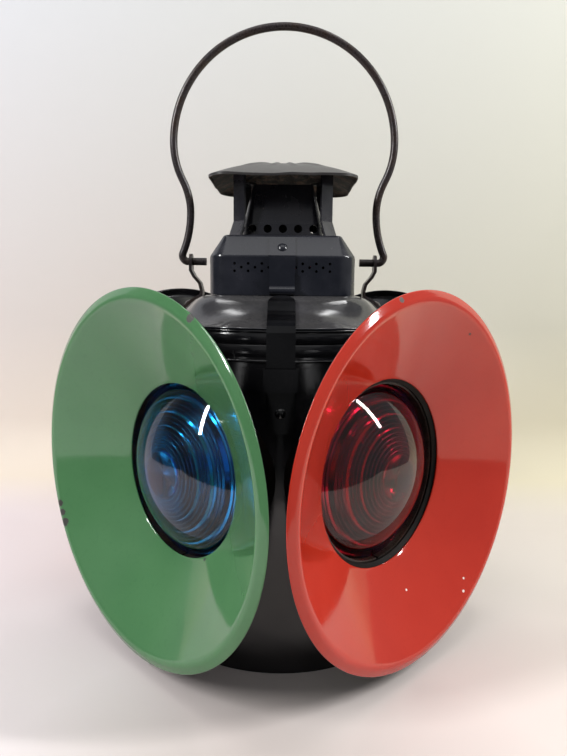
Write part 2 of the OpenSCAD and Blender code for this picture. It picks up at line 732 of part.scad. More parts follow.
// Front band: it runs from the flat top over the hip and down the wall to a rolled knuckle
knuckle_c = [-(lid_half + knuckle_r + 0.2), lid_z + knuckle_r];
module hasp_band() {
  wall_y = -lid_half;
  path = [hip_point(band_end), hip_point(0), [wall_y, lid_z + knuckle_r]];
  color(black_paint) difference() {
    union() {
      across_x(band_w / 2, strip(path, -lid_sheet - skin, -skin));
      translate([-hasp_w / 2, wall_y - lid_sheet - hasp_t, lid_z + 2 * knuckle_r]) cube([hasp_w, hasp_t + 0.1, hasp_h]);
      translate([0, knuckle_c[0], knuckle_c[1]]) rotate([0, 90, 0])
        cylinder(r = knuckle_r, h = hasp_w, center = true, $fn = 48);
    }
    translate([0, knuckle_c[0], knuckle_c[1]]) rotate([0, 90, 0])
      cylinder(r = knuckle_r - knuckle_t, h = 2 * band_w, center = true, $fn = 48);
    hasp_rivet_place() rivet_hole(hasp_rivet, 16);
  }
}
module hasp_rivet_place() {
  p = hip_point(hasp_rivet_up);
  translate([0, p[0], p[1]]) rotate([atan2(hip_h, hip_in), 0, 0])
    translate([0, 0, lid_sheet + skin]) children();
}
module hasp_rivet() { color(black_paint) hasp_rivet_place() rivet(hasp_rivet, lid_sheet); }

// Chimney: a flange and an upright collar with holes, then four faces that lean in
module chimney() {
  foot = chimney_foot - chimney_c;
  mouth = chimney_mouth - chimney_c;
  t = lid_sheet;
  color(black_paint) difference() {
    round_square(chimney_c) polygon([[foot + 4, top_z], [foot + 4, top_z + t], [foot, top_z + t],
      [foot - collar_in, top_z + collar_h], [mouth, top_z + chimney_h], [mouth - t, top_z + chimney_h],
      [foot - collar_in - t, top_z + collar_h - 0.3], [foot - t, top_z + t], [foot - t, top_z]]);
    for (turn = [0, 90], i = [-2:2]) rotate([0, 0, turn]) translate([i * flue_hole_pitch, 0, top_z + collar_h * 0.6])
      rotate([90, 0, 0]) cylinder(r = flue_hole_r, h = 4 * chimney_foot, center = true, $fn = 48);
  }
}

// Flue inside the lid, hung from the underside of the flat top by a pierced flange.
// Its baffle shades the draught holes
module inner_flue() {
  flue_r = chimney_mouth - 4;
  flange_r = chimney_foot + 6;
  baffle = [[flue_r - lid_sheet / 2, top_z - 9.5], [baffle_r, top_z - 17.8], [baffle_r, lid_z + 6.7]];
  color(tinplate) difference() {
    union() {
      translate([0, 0, top_z - 2 * lid_sheet]) cylinder(r = flange_r, h = lid_sheet);
      translate([0, 0, top_z - flue_drop]) cylinder(r = flue_r, h = flue_drop + chimney_h - 8);
      rotate_extrude() polygon(strip(baffle, 0, lid_sheet));
    }
    translate([0, 0, top_z - flue_drop - 1]) cylinder(r = flue_r - lid_sheet, h = flue_drop + chimney_h);
    for (k = [0:11]) rotate([0, 0, 30 * k]) translate([(flue_r + chimney_foot - 3) / 2, 0, top_z - 3])
      cylinder(r = draught_r * 0.6, h = 4, $fn = 32);
  }
}

// Four corner straps, each with a tab under the roof and a foot on the flat top
strap_r = 45.2;
foot_r = 50.6;
tab_z = roof_under((strap_r + strap_w / 2) / sqrt(2)) - 2 * seat;
module roof_straps() {
  path = [[strap_r - 8, tab_z], [strap_r, tab_z], [strap_r, top_z + 10.6], [foot_r - 1, top_z], [foot_r, top_z]];
  color(black_paint) for (k = [0:3]) rotate([0, 0, 45 + 90 * k]) intersection() {
    translate([0, strap_w / 2, 0]) rotate([90, 0, 0]) linear_extrude(strap_w) polygon(strip(path, -strap_t, 0));
    translate([0, -strap_w, top_z]) cube([foot_r + strap_t, 2 * strap_w, roof_lift + roof_rise]);
  }
}

// Roof: rounded squares that shrink as they rise; half side h stands at height roof_curve(h)
function roof_curve(h) = rim_z + roof_rise * (0.93 * (1 - pow(h / roof_half, 2)) + 0.07 * (1 - h / roof_half));
function roof_under(h) = roof_curve(h) - lid_sheet;
module roof_form(t) {
  corner = 15;
  hull() {
    for (h = [roof_half, roof_half - 4, roof_half * 0.8, roof_half * 0.6, roof_half * 0.38])
      square_plate(h - t, max(corner * h / roof_half, 6) - t, roof_curve(h) - t - 0.02, roof_curve(h) - t, $fn = 32);
    translate([0, 0, crown_z - t - 0.02]) cylinder(r = 4, h = 0.02, $fn = 32);
  }
}
module roof_cap() {
  color([0.16, 0.15, 0.16]) difference() {
    union() {
      roof_form(0);
      square_plate(roof_half, 15, rim_z - 1.6, rim_z);
    }
    roof_form(lid_sheet);
    square_plate(roof_half - lid_sheet, 15 - lid_sheet, rim_z - 3, rim_z + 0.01);
  }
}

// Bail: an arch, a curve in to the waist, a curve out again, a tight bend and a stub through the ear.
// Each pair of arcs meets with a common tangent.
bail_in = 2 * atan2(arch_r - waist_half, arch_z - waist_z);
bail_both = (arch_z - waist_z) / sin(bail_in);
bail_upper_r = bail_both * 0.54;
bail_lower_r = bail_both - bail_upper_r;
bail_leg_r = 80;
bail_out = asin((waist_z - eye_z - hook_r) / (bail_leg_r + hook_r));
hook_x = waist_half + bail_leg_r - (bail_leg_r + hook_r) * cos(bail_out);
// Every other length of wire is finer by a hair, and its ends reach a little way into its neighbours
wire_hair = 0.02;
wire_reach = 0.3;
module wire_arc(c, r, a0, a1, fine = false) {
  extra = fine ? wire_reach / r * 180 / PI : 0;
  translate([c[0], 0, c[1]]) rotate([90, 0, 0]) rotate([0, 0, a0 - extra])
    rotate_extrude(angle = a1 - a0 + 2 * extra, $fn = 128)
      translate([r, 0]) circle(r = wire_r - (fine ? wire_hair : 0), $fn = 48);
}
module bail() {
  color(dark_steel) {
    wire_arc([0, arch_z], arch_r, 0, 180);
    for (m = [0, 1]) mirror([m, 0, 0]) {
      wire_arc([arch_r - bail_upper_r, arch_z], bail_upper_r, -bail_in, 0, fine = true);
      wire_arc([waist_half + bail_lower_r, waist_z], bail_lower_r, 180 - bail_in, 180);
      wire_arc([waist_half + bail_leg_r, waist_z], bail_leg_r, 180, 180 + bail_out, fine = true);
      wire_arc([hook_x, eye_z + hook_r], hook_r, -90, bail_out);
      translate([stub_x, 0, eye_z]) rotate([0, 90, 0])
        cylinder(r = wire_r - wire_hair, h = hook_x - stub_x + wire_reach, $fn = 48);
    }
  }
}

// Latch spring: riveted low on the body, it runs up through its guide and curls over the shoulder
module latch_spring() {
  over = seat + 0.5;
  bend_r = skirt_r - 3;
  curve = [for (i = [0:8]) let (r = bend_r + (tip_y - bend_r) * i / 8) [-r, dome_z(r, over)]];
  path = concat([[-latch_y, latch_rivet_z - latch_tail], [-latch_y, dome_z(bend_r) - 4.4],
    [-latch_y + 1.4, dome_z(bend_r, over) - 1.6]], curve);
  color(black_paint) difference() {
    intersection() {
      across_x(latch_w / 2, strip(path, 0, latch_t));
      union() {
        translate([-latch_w / 2, -latch_y - 10, 0])
          cube([latch_w, latch_y + 10 - tip_y - latch_w / 2, shoulder_z + 20]);
        translate([0, -tip_y - latch_w / 2, 0]) cylinder(r = latch_w / 2, h = shoulder_z + 20);
      }
    }
    translate([0, -latch_y, latch_rivet_z]) rotate([90, 0, 0]) rivet_hole(spring_rivet, 10);
  }
}
module latch_rivet() {
  color(black_paint) translate([0, -latch_y - latch_t, latch_rivet_z]) rotate([90, 0, 0]) {
    rivet(spring_rivet, latch_y + latch_t - inner_r - 0.2);
  }
}

// Oil fount: a closed tank with a neck for the burner and one for the filler cap
module fount_form(t) {
  edge = 5;
  rotate_extrude() polygon(concat([[0, fount_z + t], [fount_r - t - 2, fount_z + t], [fount_r - t, fount_z + 2 + t]],
    arc([fount_r - edge, fount_top - edge - 3], edge - t, 0, 70, 5), [[neck_r, fount_top - t], [0, fount_top - t]]));
}
module fount() {
  color(tinplate) difference() {
    union() {
      fount_form(0);
      translate([0, 0, fount_top - 2]) cylinder(r = neck_r, h = neck_h + 2);
      translate([cap_x, 0, fount_top - 5]) cylinder(r = cap_neck_r, h = cap_neck_h + 5, $fn = 64);
    }
    fount_form(tank_t);
    translate([0, 0, fount_top - 4]) cylinder(r = neck_r - tank_t, h = neck_h + 8);
    translate([cap_x, 0, fount_top - 8]) cylinder(r = cap_neck_r - tank_t, h = cap_neck_h + 12, $fn = 64);
  }
}

// Burner: a cap that screws over the neck, and a slotted cone for the wick tube
module burner() {
  z0 = fount_top + 0.5;
  slot_x = wick_w + 2 * tube_t + 0.9;
  slot_y = wick_t + 2 * tube_t + 0.9;
  color(brass) difference() {
    rotate_extrude() polygon([[0, z0 + neck_h - 0.4], [neck_r + slip, z0 + neck_h - 0.4], [neck_r + slip, z0],
      [neck_r + 2.4, z0], [neck_r + 2.4, z0 + 5.4], [neck_r + 0.5, z0 + 7.5], [neck_r - 1.5, z0 + burner_h],
      [neck_r - 2.5, z0 + burner_h], [neck_r - 2.5, z0 + neck_h + 0.8], [0, z0 + neck_h + 0.8]]);
    translate([-slot_x / 2, -slot_y / 2, fount_top]) cube([slot_x, slot_y, 30]);
    translate([0, 0, spindle_z]) rotate([0, 90, 0]) cylinder(r = spindle_r + 0.06, h = 40, $fn = 32);
  }
}

module wick_tube() {
  hx = wick_w / 2 + 0.3;
  hy = wick_t / 2 + 0.3;
  low = fount_top + neck_h - 4;
  color(brass) difference() {
    plate(hx + tube_t, hy + tube_t, 1, low, tube_top);
    plate(hx, hy, 0.6, low - 1, tube_top + 1);
    translate([hx - 3, 0, spindle_z]) rotate([0, 90, 0]) cylinder(r = 3.4, h = 20, $fn = 32);
  }
}

module wick() {
  color([0.85, 0.80, 0.68]) difference() {
    plate(wick_w / 2, wick_t / 2, 0.5, fount_z + 10, tube_top + 2.5);
    translate([wick_w / 2 - 2.6, -wick_t, spindle_z - 16]) cube([5, 2 * wick_t, 32]);
  }
}

// Wick raiser: a knurled knob, its spindle, and the toothed wheel beside the wick
module wick_raiser() {
  knob_x = fount_r - 7;
  wheel_x = wick_w / 2 - 1.9;
  color(brass) translate([0, 0, spindle_z]) rotate([0, 90, 0]) {
    translate([0, 0, wheel_x]) cylinder(r = spindle_r, h = knob_x - wheel_x + 1, $fn = 32);
    translate([0, 0, wheel_x]) cylinder(r = 2.6, h = 1.4, $fn = 12);
    translate([0, 0, knob_x]) difference() {
      cylinder(r = knob_r, h = 2.6, $fn = 64);
      for (k = [0:23]) rotate([0, 0, 15 * k]) translate([knob_r + 0.3, 0, -1]) cylinder(r = 0.7, h = 5, $fn = 16);
    }
  }
}

module filler_cap() {
  z0 = fount_top + 1.2;
  color(brass) translate([cap_x, 0, z0]) difference() {
    cylinder(r = cap_r, h = cap_neck_h + 0.4, $fn = 64);
    translate([0, 0, -1]) cylinder(r = cap_neck_r + 0.12, h = cap_neck_h + 0.2, $fn = 64);
    for (k = [0:17]) rotate([0, 0, 20 * k]) translate([cap_r + 0.3, 0, -1]) cylinder(r = 0.8, h = 12, $fn = 16);
  }
}
module cap_gasket() {
  color([0.62, 0.47, 0.30]) translate([cap_x, 0, 0])
    ring(cap_neck_r, cap_neck_r - 3, fount_top + cap_neck_h, fount_top + cap_neck_h + 0.4);
}

body_shell();
base_plate();
mounting_socket();
socket_rivets();
fount_shelf();
shoulder();
shoulder_skirt();
hood_front_left();
hood_front_right();
hood_rear_right();
hood_rear_left();
target_front_left();
target_front_right();
target_rear_right();
target_rear_left();
lens_front_left();
lens_front_right();
lens_rear_right();
lens_rear_left();
lens_ring_front_left();
lens_ring_front_right();
lens_ring_rear_right();
lens_ring_rear_left();
latch_bracket();
ear_left();
ear_right();
ear_rivets();
hinge_base();
hinge_pin();
lid_drum();
hasp_band();
hasp_rivet();
hinge_leaf();
chimney();
inner_flue();
roof_straps();
roof_cap();
bail();
latch_spring();
latch_rivet();
fount();
burner();
wick_tube();
wick();
wick_raiser();
filler_cap();
cap_gasket();
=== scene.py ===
"""Railroad switch lamp: the looks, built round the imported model. Shapes are given in millimetres, and the
scene, the stage, the lights and the camera in metres."""
import math

import bpy
import numpy as np
from mathutils import Matrix, Vector


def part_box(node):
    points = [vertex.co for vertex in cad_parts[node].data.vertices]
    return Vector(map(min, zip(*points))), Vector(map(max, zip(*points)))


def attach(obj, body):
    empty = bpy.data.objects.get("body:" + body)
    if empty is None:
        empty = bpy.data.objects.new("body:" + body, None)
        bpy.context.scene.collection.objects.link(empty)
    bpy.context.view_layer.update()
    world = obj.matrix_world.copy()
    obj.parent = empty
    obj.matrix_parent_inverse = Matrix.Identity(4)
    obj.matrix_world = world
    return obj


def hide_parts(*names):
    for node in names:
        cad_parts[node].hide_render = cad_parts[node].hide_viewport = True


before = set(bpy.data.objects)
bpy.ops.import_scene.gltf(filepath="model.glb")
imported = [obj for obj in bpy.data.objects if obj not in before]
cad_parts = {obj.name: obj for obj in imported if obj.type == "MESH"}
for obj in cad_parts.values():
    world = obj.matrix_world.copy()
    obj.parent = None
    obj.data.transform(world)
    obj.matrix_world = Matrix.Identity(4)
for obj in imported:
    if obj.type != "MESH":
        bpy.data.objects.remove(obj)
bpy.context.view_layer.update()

MM = 0.001

# Directions of the four lens axes in degrees from +X, and the colour that each one shows
LENS_SIDES = {"front_left": 225, "front_right": 315, "rear_right": 45, "rear_left": 135}
SIDE_COLOUR = {"front_left": "green", "front_right": "red", "rear_right": "green", "rear_left": "red"}

# Points on each half-round edge of a sheet's section
EDGE_POINTS = 7


def node_box(node):
    """A node's lowest and highest corners in millimetres, to the nearest hundredth."""
    return np.round(np.array(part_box(node)) / MM, 2)


# Surfaces

def mesh_object(name, points, faces, material):
    """A smooth-shaded object from points in metres and faces, with its first material."""
    mesh = bpy.data.meshes.new(name)
    mesh.from_pydata(points.tolist(), [], faces.tolist())
    mesh.polygons.foreach_set("use_smooth", np.ones(len(mesh.polygons), bool))
    mesh.materials.append(material)
    obj = bpy.data.objects.new(name, mesh)
    bpy.context.scene.collection.objects.link(obj)
    return obj


def closed_surface(name, grid, outer, inner=None, inner_columns=None, crisp_from=180):
    """A closed mesh from a grid of points (turns, section points, 3) in millimetres. Rows and columns close
    on themselves, neighbouring points make four-sided faces, and the faces are turned outwards by the sign
    of the volume they enclose. The inner material goes on the section columns that are marked, and edges
    that turn by more than crisp_from degrees stay crisp."""
    rows, columns = grid.shape[:2]
    index = np.arange(rows * columns).reshape(rows, columns)
    next_turn, next_point = np.roll(index, -1, axis=0), np.roll(index, -1, axis=1)
    faces = np.stack([index, next_turn, np.roll(next_turn, -1, axis=1), next_point], -1).reshape(-1, 4)
    points = grid.reshape(-1, 3)
    a, b, c, d = (points[faces[:, k]] for k in range(4))
    volume = (np.cross(a, b) * c).sum() + (np.cross(a, c) * d).sum()
    if volume < 0:
        faces = faces[:, ::-1]
    obj = mesh_object(name, points * MM, faces, outer)
    if inner:
        obj.data.materials.append(inner)
        obj.data.polygons.foreach_set("material_index", np.tile(inner_columns, rows).astype(np.int32))
    obj.data.update()
    if crisp_from < 180:
        obj.data.set_sharp_from_angle(angle=math.radians(crisp_from))
    return obj


def square_radius(direction, half, corner):
    """Distance from the middle to the edge of a rounded square in a direction (radians): half / cos on the
    flats, and c (cos + sin) + sqrt(corner^2 - c^2 (1 - sin 2a)) on the corner arcs, where c = half - corner
    and a is the angle from the nearest flat's middle."""
    a = np.abs((direction + math.pi / 4) % (math.pi / 2) - math.pi / 4)
    c = half - corner
    inside = np.maximum(corner ** 2 - c ** 2 * (1 - np.sin(2 * a)), 0)
    return np.where(half * np.tan(a) <= c, half / np.cos(a), c * (np.cos(a) + np.sin(a)) + np.sqrt(inside))


def rounded(points, radii, step=0.6):
    """A line through 2-D corner points with each corner replaced by an arc of its radius, with points about
    a step apart. The arc touches both sides at radius * tan(turn / 2) from the corner."""
    points = np.asarray(points, float)
    line = [points[:1]]
    for corner, before, after, radius in zip(points[1:-1], points, points[2:], radii[1:]):
        back, ahead = before - corner, after - corner
        back, ahead = back / np.hypot(*back), ahead / np.hypot(*ahead)
        turn = math.pi - math.acos(np.clip(back @ ahead, -1, 1))
        reach = radius * math.tan(turn / 2)
        if reach < 1e-6:
            line.append(corner[None])
            continue
        inward = back + ahead
        centre = corner + inward / np.hypot(*inward) * radius / math.cos(turn / 2)
        begin, end = corner + back * reach - centre, corner + ahead * reach - centre
        first, last = math.atan2(begin[1], begin[0]), math.atan2(end[1], end[0])
        sweep = (last - first + math.pi) % (2 * math.pi) - math.pi
        count = max(3, int(abs(sweep) * radius / step) + 2)
        angle = first + sweep * np.linspace(0, 1, count)
        line.append(centre + radius * np.stack([np.cos(angle), np.sin(angle)], -1))
    line.append(points[-1:])
    return np.concatenate(line)


def resample(line, spacing):
    """Points at even spacing along a line, its ends kept."""
    run = np.r_[0, np.cumsum(np.linalg.norm(np.diff(line, axis=0), axis=1))]
    count = max(2, int(round(run[-1] / spacing)) + 1)
    places = np.linspace(0, run[-1], count)
    return np.stack([np.interp(places, run, line[:, k]) for k in range(line.shape[1])], -1)


def sheet_section(face, thickness):
    """The closed outline of a bent sheet: its face, a half-round edge, its back at the sheet's thickness,
    and the other edge."""
    along = np.gradient(face, axis=0)
    along /= np.linalg.norm(along, axis=1)[:, None]
    normal = np.stack([along[:, 1], -along[:, 0]], -1)
    back = face + normal * thickness
    half = thickness / 2
    angle = np.linspace(0, math.pi, EDGE_POINTS + 2)[1:-1, None]
    sideways, outwards = np.cos(angle) * half, np.sin(angle) * half
    end = (face[-1] + back[-1]) / 2 - sideways * normal[-1] + outwards * along[-1]
    start = (face[0] + back[0]) / 2 + sideways * normal[0] - outwards * along[0]
    return np.concatenate([face, end, back[::-1], start])


def around_lens_axis(section, side, turns):
    """Carries a section of (radius, distance along the lens axis) round a lens axis: each point moves on a
    circle about the level line that leaves the lamp's middle in the side's direction, at the height of the
    target's middle."""
    height = node_box(f"target_{side}")[:, 2].mean()
    heading = math.radians(LENS_SIDES[side])
    out = np.array([math.cos(heading), math.sin(heading), 0])
    across = np.array([-math.sin(heading), math.cos(heading), 0])
    up = np.array([0, 0, 1.0])
    angle = np.radians(360.0 * np.linspace(0, 1, turns, endpoint=False))[:, None, None]
    radius, along = section[None, :, :1], section[None, :, 1:]
    return along * out + radius * (np.cos(angle) * across + np.sin(angle) * up) + height * up


# Materials

# Noise scale for a grain of one millimetre, on coordinates in metres
GRAIN = 1000.0


def colour(hexcode):
    """An sRGB hex value as linear RGBA."""
    parts = [int(hexcode[k:k + 2], 16) / 255 for k in (1, 3, 5)]
    return tuple(c / 12.92 if c <= 0.04045 else ((c + 0.055) / 1.055) ** 2.4 for c in parts) + (1.0,)


def fill(node, inputs):
    """Fills a node's sockets, by name or number, with values or with other nodes' outputs."""
    for socket, value in inputs.items():
        if isinstance(value, bpy.types.NodeSocket):
            node.id_data.links.new(value, node.inputs[socket])
        else:
            node.inputs[socket].default_value = value


def add(tree, kind, inputs, output=0, **settings):
    """Adds one shader node and gives one of its outputs. By number, MapRange takes a value, the two levels
    it is read between and the two that it gives; colour Mix takes its share as 0 and its colours as 6 and
    7."""
    node = tree.nodes.new("ShaderNode" + kind)
    for name, value in settings.items():
        setattr(node, name, value)
    fill(node, inputs)
    return node.outputs[output]


def new_material(name, *grains):
    """A material, its node tree, its main shader, the object's own coordinates in metres, and its noise
    patterns. Each pattern is given as its grain in millimetres, its number of finer octaves and their
    strength."""
    material = bpy.data.materials.new(name)
    material.use_nodes = True
    tree = material.node_tree
    place = add(tree, "TexCoord", {}, "Object")
    patterns = []
    for size, octaves, strength in grains:
        noise = {"Vector": place, "Scale": GRAIN / size, "Detail": octaves, "Roughness": strength}
        patterns.append(add(tree, "TexNoise", noise, "Fac"))
    return material, tree, tree.nodes["Principled BSDF"], place, *patterns


def coats(tree, ground, *layers):
    """Lays colours over a ground colour. Each layer is a pattern, the two levels between which it goes from
    none to its full cover, that cover, and its colour."""
    tone = colour(ground)
    for pattern, low, high, cover, hexcode in layers:
        share = add(tree, "MapRange", {0: pattern, 1: low, 2: high, 4: cover})
        tone = add(tree, "Mix", {0: share, 6: tone, 7: colour(hexcode)}, 2, data_type="RGBA")
    return tone


def painted_sheet(name, dark="#0d0d10", worn="#1b1a1c", dust_and_sheen_grey="#4c4a46", dust_and_sheen_cover=0.05, shine=0.10,
                  dull=0.24, ior=1.52):
    """Black stoving enamel, brushed on sheet iron and baked: thin and glossy, with rubbed duller patches,
    grey on what faces up that is dust and, on the lid, shoulder, chimney and roof, also a painted sheen,
    upright scratches down to grey metal, small chips, and the slow waves of hand-worked sheet."""
    material, tree, shader, place, patch, speck, chips, wave, grain = new_material(
        name, (26, 4, 0.55), (2.2, 5, 0.7), (5.0, 6, 0.75), (30, 1, 0.55), (1.4, 2, 0.55))
    # scratches are noise drawn out upright, and show where the sheet is rubbed
    upright = add(tree, "Mapping", {"Vector": place, "Scale": (1.0, 1.0, 0.09)})
    streaks = {"Vector": upright, "Scale": GRAIN / 3.0, "Detail": 2, "Roughness": 0.5}
    scratch = add(tree, "TexNoise", streaks, "Fac")
    cut = add(tree, "MapRange", {0: scratch, 1: 0.71, 2: 0.75})
    rubbed = add(tree, "MapRange", {0: patch, 1: 0.52, 2: 0.62})
    scar = add(tree, "Math", {0: cut, 1: rubbed}, operation="MULTIPLY")
    # grey lies unevenly on what faces up: dust, and where its cover is large (lid, shoulder, chimney, roof)
    # also a painted sheen from above
    up = add(tree, "SeparateXYZ", {0: add(tree, "NewGeometry", {}, "Normal")}, "Z")
    upward_dust_and_sheen = add(tree, "MapRange", {0: up, 1: 0.15, 2: 0.95, 4: dust_and_sheen_cover})
    sifted = add(tree, "MapRange", {0: speck, 1: 0.25, 2: 0.75, 3: 0.35})
    dust_and_sheen_share = add(tree, "Math", {0: upward_dust_and_sheen, 1: sifted}, operation="MULTIPLY")
    tone = coats(tree, dark, (patch, 0.42, 0.68, 1, worn), (dust_and_sheen_share, 0, 1, 1, dust_and_sheen_grey),
                 (scar, 0, 1, 0.35, "#6d6b6a"), (chips, 0.765, 0.78, 1, "#3c3029"))
    rough = add(tree, "MapRange", {0: patch, 1: 0.35, 2: 0.7, 3: shine, 4: dull})
    rough = add(tree, "Math", {0: dust_and_sheen_share, 1: 0.5, 2: rough}, operation="MULTIPLY_ADD")
    waves = add(tree, "Bump", {"Height": wave, "Strength": 0.5, "Distance": 0.6 * MM})
    skin = add(tree, "Bump", {"Height": grain, "Strength": 0.10, "Distance": 0.05 * MM, "Normal": waves})
    fill(shader, {"Base Color": tone, "Roughness": rough, "Normal": skin, "IOR": ior})
    return material


def sooted_sheet(name):
    """The roof's underside: matt soot, flaked through to brown rust and grey ash."""
    material, tree, shader, _, flake, fine = new_material(name, (9, 5, 0.65), (1.6, 4, 0.7))
    grit = add(tree, "MapRange", {0: fine, 1: 0.5, 2: 0.7})
    loose = add(tree, "MapRange", {0: flake, 1: 0.4, 2: 0.62})
    ash = add(tree, "Math", {0: grit, 1: loose}, operation="MULTIPLY")
    tone = coats(tree, "#15120f", (flake, 0.46, 0.60, 1, "#4a3526"), (ash, 0, 1, 1, "#6b6158"))
    skin = add(tree, "Bump", {"Height": fine, "Strength": 0.5, "Distance": 0.25 * MM})
    fill(shader, {"Base Color": tone, "Roughness": 0.8, "Normal": skin})
    return material


def vitreous_enamel(name, ground, light, deep, chips):
    """Glass enamel fired on a steel dish: even, glossy colour with a faint orange-peel skin, and chips
    through to dark iron or bare metal, each at its own place. chips holds points in millimetres, each with
    its radius and its colour."""
    material, tree, shader, place, slow, fine, ragged, wave, peel = new_material(
        name, (60, 2, 0.55), (4, 4, 0.55), (2.5, 4, 0.7), (35, 1, 0.55), (1.6, 1, 0.55))
    rough = add(tree, "MapRange", {0: slow, 1: 0.3, 2: 0.7, 3: 0.05, 4: 0.10})
    layers = [(slow, 0.35, 0.65, 1, light), (fine, 0.55, 0.8, 0.35, deep)]
    # each chip is a ball of its radius with a ragged edge, and is rougher than the enamel
    for point, radius, hexcode in chips:
        centre = [p * MM for p in point]
        away = add(tree, "VectorMath", {0: place, 1: centre}, "Value", operation="DISTANCE")
        reach = radius * MM
        away = add(tree, "Math", {0: ragged, 1: 1.2 * reach, 2: away}, operation="MULTIPLY_ADD")
        chip = add(tree, "MapRange", {0: away, 1: 1.55 * reach, 2: 1.65 * reach, 3: 1.0, 4: 0.0})
        layers.append((chip, 0, 1, 1, hexcode))
        rough = add(tree, "Math", {0: chip, 1: 0.5, 2: rough}, operation="MULTIPLY_ADD")
    tone = coats(tree, ground, *layers)
    waves = add(tree, "Bump", {"Height": wave, "Strength": 0.3, "Distance": 0.25 * MM})
    skin = add(tree, "Bump", {"Height": peel, "Strength": 0.05, "Distance": 0.05 * MM, "Normal": waves})
    fill(shader, {"Base Color": tone, "Roughness": rough, "Normal": skin, "IOR": 1.52})
    return material


def signal_glass(name, clean, grimy, smooth=0.02, hazy=0.07):
    """Pressed signal glass coloured in the melt: clear and deep in tone, hazier where grime lies on it."""
    material, tree, shader, _, grime = new_material(name, (9, 4, 0.55))
    tone = coats(tree, clean, (grime, 0.4, 0.8, 1, grimy))
    rough = add(tree, "MapRange", {0: grime, 1: 0.45, 2: 0.8, 3: smooth, 4: hazy})
    fill(shader, {"Base Color": tone, "Roughness": rough, "IOR": 1.52, "Transmission Weight": 1.0})
    return material


def bare_iron(name, ground="#2b2527", brown="#30231c", bright="#5d5658"):
    """Iron wire and strip under thin worn paint: smooth brown-black, greyer where hands and hooks rub
    it."""
    material, tree, shader, _, patch, grain = new_material(name, (14, 4, 0.55), (1.1, 4, 0.7))
    tone = coats(tree, ground, (patch, 0.4, 0.65, 1, brown), (grain, 0.55, 0.75, 0.6, bright))
    rough = add(tree, "MapRange", {0: grain, 1: 0.3, 2: 0.7, 3: 0.22, 4: 0.42})
    skin = add(tree, "Bump", {"Height": grain, "Strength": 0.15, "Distance": 0.06 * MM})
    fill(shader, {"Base Color": tone, "Roughness": rough, "Normal": skin, "Metallic": 0.25})
    return material


def plain_metal(name, ground, stain, metallic, bright, dull):
    """Tinplate, brass or cast iron, with stains, the rougher marks of handling and the faint grain of its
    making."""
    material, tree, shader, _, patch, grain = new_material(name, (12, 4, 0.55), (0.9, 3, 0.55))
    tone = coats(tree, ground, (patch, 0.45, 0.7, 1, stain))
    rough = add(tree, "MapRange", {0: patch, 1: 0.3, 2: 0.7, 3: bright, 4: dull})
    skin = add(tree, "Bump", {"Height": grain, "Strength": 0.15, "Distance": 0.05 * MM})
    fill(shader, {"Base Color": tone, "Roughness": rough, "Normal": skin, "Metallic": metallic})
    return material


def woven_cotton(name):
    """Flat woven lamp wick: off-white yarn in ribs 2 mm apart, coarser than real ones so that they show,
    and charred dark at its top edge."""
    material, tree, shader, place = new_material(name)
    # a wave texture has 20 / (2 pi) ribs for each unit of its scale
    rib_scale, char_from, char_full = 160.0, 0.1275, 0.1300
    wave = {"Vector": place, "Scale": rib_scale, "Distortion": 0.6}
    ribs = add(tree, "TexWave", wave, "Fac", bands_direction="X")
    height = add(tree, "SeparateXYZ", {0: place}, "Z")
    tone = coats(tree, "#cdbf9d", (ribs, 0.2, 0.8, 1, "#e6dcc2"),
                 (height, char_from, char_full, 1, "#1d1712"))
    skin = add(tree, "Bump", {"Height": ribs, "Strength": 0.6, "Distance": 0.3 * MM})
    fill(shader, {"Base Color": tone, "Roughness": 0.95, "Normal": skin})
    return material


def cork_sheet(name):
    """Pressed cork: light brown grains 1.1 mm across with darker bark between them."""
    material, tree, shader, place = new_material(name)
    grains = add(tree, "TexVoronoi", {"Vector": place, "Scale": 0.9 * GRAIN}, "Distance")
    tone = coats(tree, "#b08a58", (grains, 0.2, 0.7, 1, "#6d4f31"))
    fill(shader, {"Base Color": tone, "Roughness": 0.9})
    return material


# The same black is given lighter and darker copies from part to part as painted light and shade: the lid,
# the shoulder, the chimney with its straps and the roof are painted greyer and lighter for the sheen and
# light they catch, the leaf is painted blackest, and the barrels' lips are scaled and sooty, so they hardly
# shine
black_paint = painted_sheet("black_stoving_enamel")
lid_paint_painted_lighter = painted_sheet("black_stoving_enamel_lid", "#181a22", "#24252d", "#66625c", 0.10,
                          shine=0.12, dull=0.30)
shoulder_paint_painted_lighter = painted_sheet("black_stoving_enamel_shoulder", "#1d1e23", "#2a2a30", "#77736d", 0.22,
                               shine=0.07, dull=0.15)
leaf_paint_painted_darker = painted_sheet("black_stoving_enamel_leaf", "#08080a", "#101012", dust_and_sheen_cover=0,
                           shine=0.08, dull=0.16)
chimney_paint_painted_lighter = painted_sheet("black_stoving_enamel_chimney", "#1d1d23", "#29282d", "#66625c", 0.15,
                              shine=0.16, dull=0.32)
roof_paint_painted_lighter = painted_sheet("black_stoving_enamel_roof", "#232122", "#343030", "#858480", 0.38,
                           shine=0.32, dull=0.5)
back_enamel = painted_sheet("black_ground_enamel", "#101012", "#161518", dust_and_sheen_cover=0, shine=0.12, dull=0.2)
barrel_paint = painted_sheet("browned_barrel_paint", "#0c0a09", "#19120f", dust_and_sheen_cover=0,
                             shine=0.42, dull=0.6, ior=1.22)
soot = sooted_sheet("soot_and_rust")
iron = bare_iron("bare_iron_wire_and_strip")
ring_iron = bare_iron("browned_spring_ring", "#1d1715", "#3a2a24", "#4f423b")
sooted_tin = plain_metal("sooted_tinplate", "#25211e", "#121010", 0.2, 0.5, 0.8)
tinplate = plain_metal("tinplate", "#b5b2aa", "#8a8276", 0.9, 0.28, 0.45)
